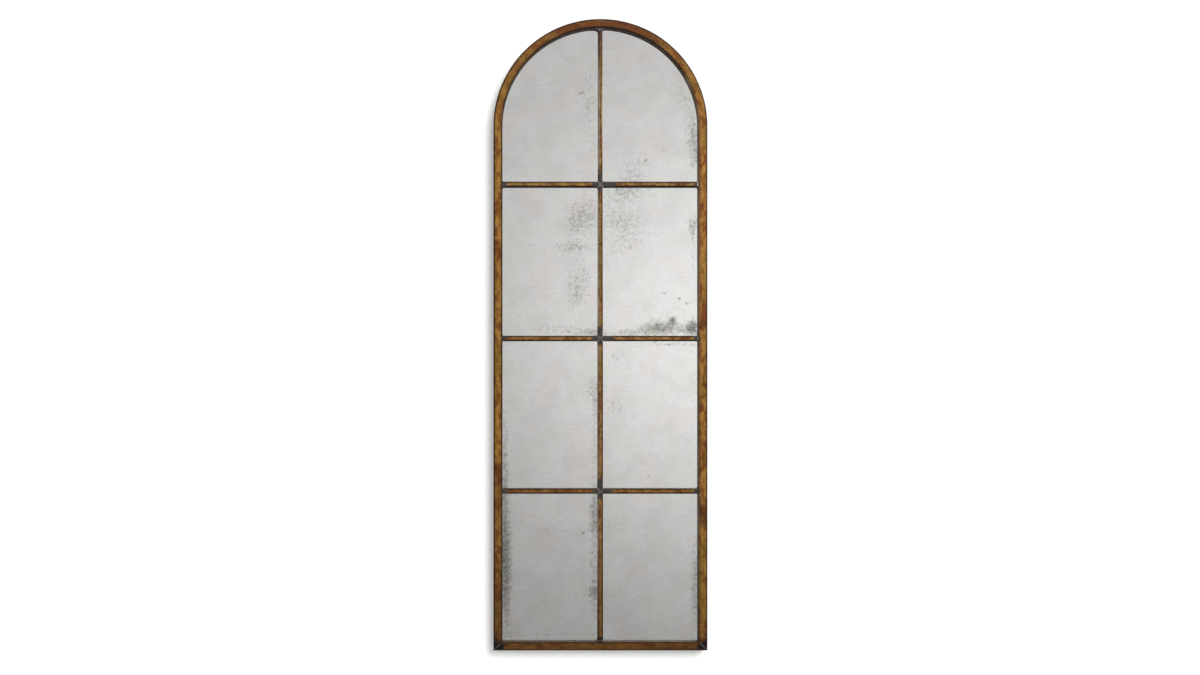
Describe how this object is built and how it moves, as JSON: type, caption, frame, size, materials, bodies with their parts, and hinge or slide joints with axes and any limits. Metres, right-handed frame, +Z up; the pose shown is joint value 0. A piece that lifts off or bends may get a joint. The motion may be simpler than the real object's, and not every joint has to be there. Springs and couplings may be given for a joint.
{
  "type": "arched window-pane mirror",
  "caption": "Tall arched mirror in a mitred iron frame, with iron window bars in front of one antiqued sheet, hung by rings on its back.",
  "frame": {"origin": "on the wall plane, midway between the two wall hooks, at the height of the rings' hinge axes", "axes": "+Z up along the legs, +Y from the front of the mirror towards the wall, +X to the right as seen from the front"},
  "size_m": [0.706, 0.0404, 2.083],
  "materials": {
    "patinated_iron": "burnished antique gold-brown patina under wax, dark at the edges",
    "weld_iron": "ground weld with a slate grey patina",
    "dark_iron": "dark brown-black lacquered steel tube and plate",
    "antiqued_mirror": "lightly hazed silvering with grey-brown foxing",
    "fibreboard": "smooth brown hardboard",
    "zinc_steel": "bright zinc plated steel",
    "foam_tape": "black closed foam",
    "packer_rubber": "matt black",
    "bumper_rubber": "matt black"
  },
  "bodies": {
    "frame": {"arch": "patinated_iron", "left_leg": "patinated_iron", "right_leg": "patinated_iron", "bottom_rail": "patinated_iron", "upright_foot": "patinated_iron", "upright_lower": "patinated_iron", "upright_upper": "patinated_iron", "upright_top": "patinated_iron", "left_crossbar_low": "patinated_iron", "right_crossbar_low": "patinated_iron", "left_crossbar_middle": "patinated_iron", "right_crossbar_middle": "patinated_iron", "left_crossbar_high": "patinated_iron", "right_crossbar_high": "patinated_iron", "arch_spacer": "dark_iron", "left_spacer": "dark_iron", "right_spacer": "dark_iron", "bottom_spacer": "dark_iron", "crossing_welds": "weld_iron", "bar_end_welds": "weld_iron", "foot_weld": "weld_iron", "apex_weld": "weld_iron", "mitre_welds": "weld_iron", "glazing_tape": "foam_tape", "mirror_glass": "antiqued_mirror", "backing_board": "fibreboard", "setting_blocks": "packer_rubber", "wall_bumpers": "bumper_rubber", "retaining_clips": "zinc_steel", "clip_screws": "zinc_steel", "hanger_rivets": "zinc_steel", "left_hanger_tab": "dark_iron", "right_hanger_tab": "dark_iron", "left_hanger_strap": "zinc_steel", "right_hanger_strap": "zinc_steel"},
    "left_ring": {"left_hanger_ring": "zinc_steel"},
    "right_ring": {"right_hanger_ring": "zinc_steel"}
  },
  "joints": [
    {"name": "left_ring_swing", "type": "hinge", "parent": "frame", "child": "left_ring", "pos_m": [-0.323, -0.00375, 0], "axis": [1, 0, 0], "range_deg": [0, 180]},
    {"name": "right_ring_swing", "type": "hinge", "parent": "frame", "child": "right_ring", "pos_m": [0.323, -0.00375, 0], "axis": [1, 0, 0], "range_deg": [0, 180]}
  ]
}
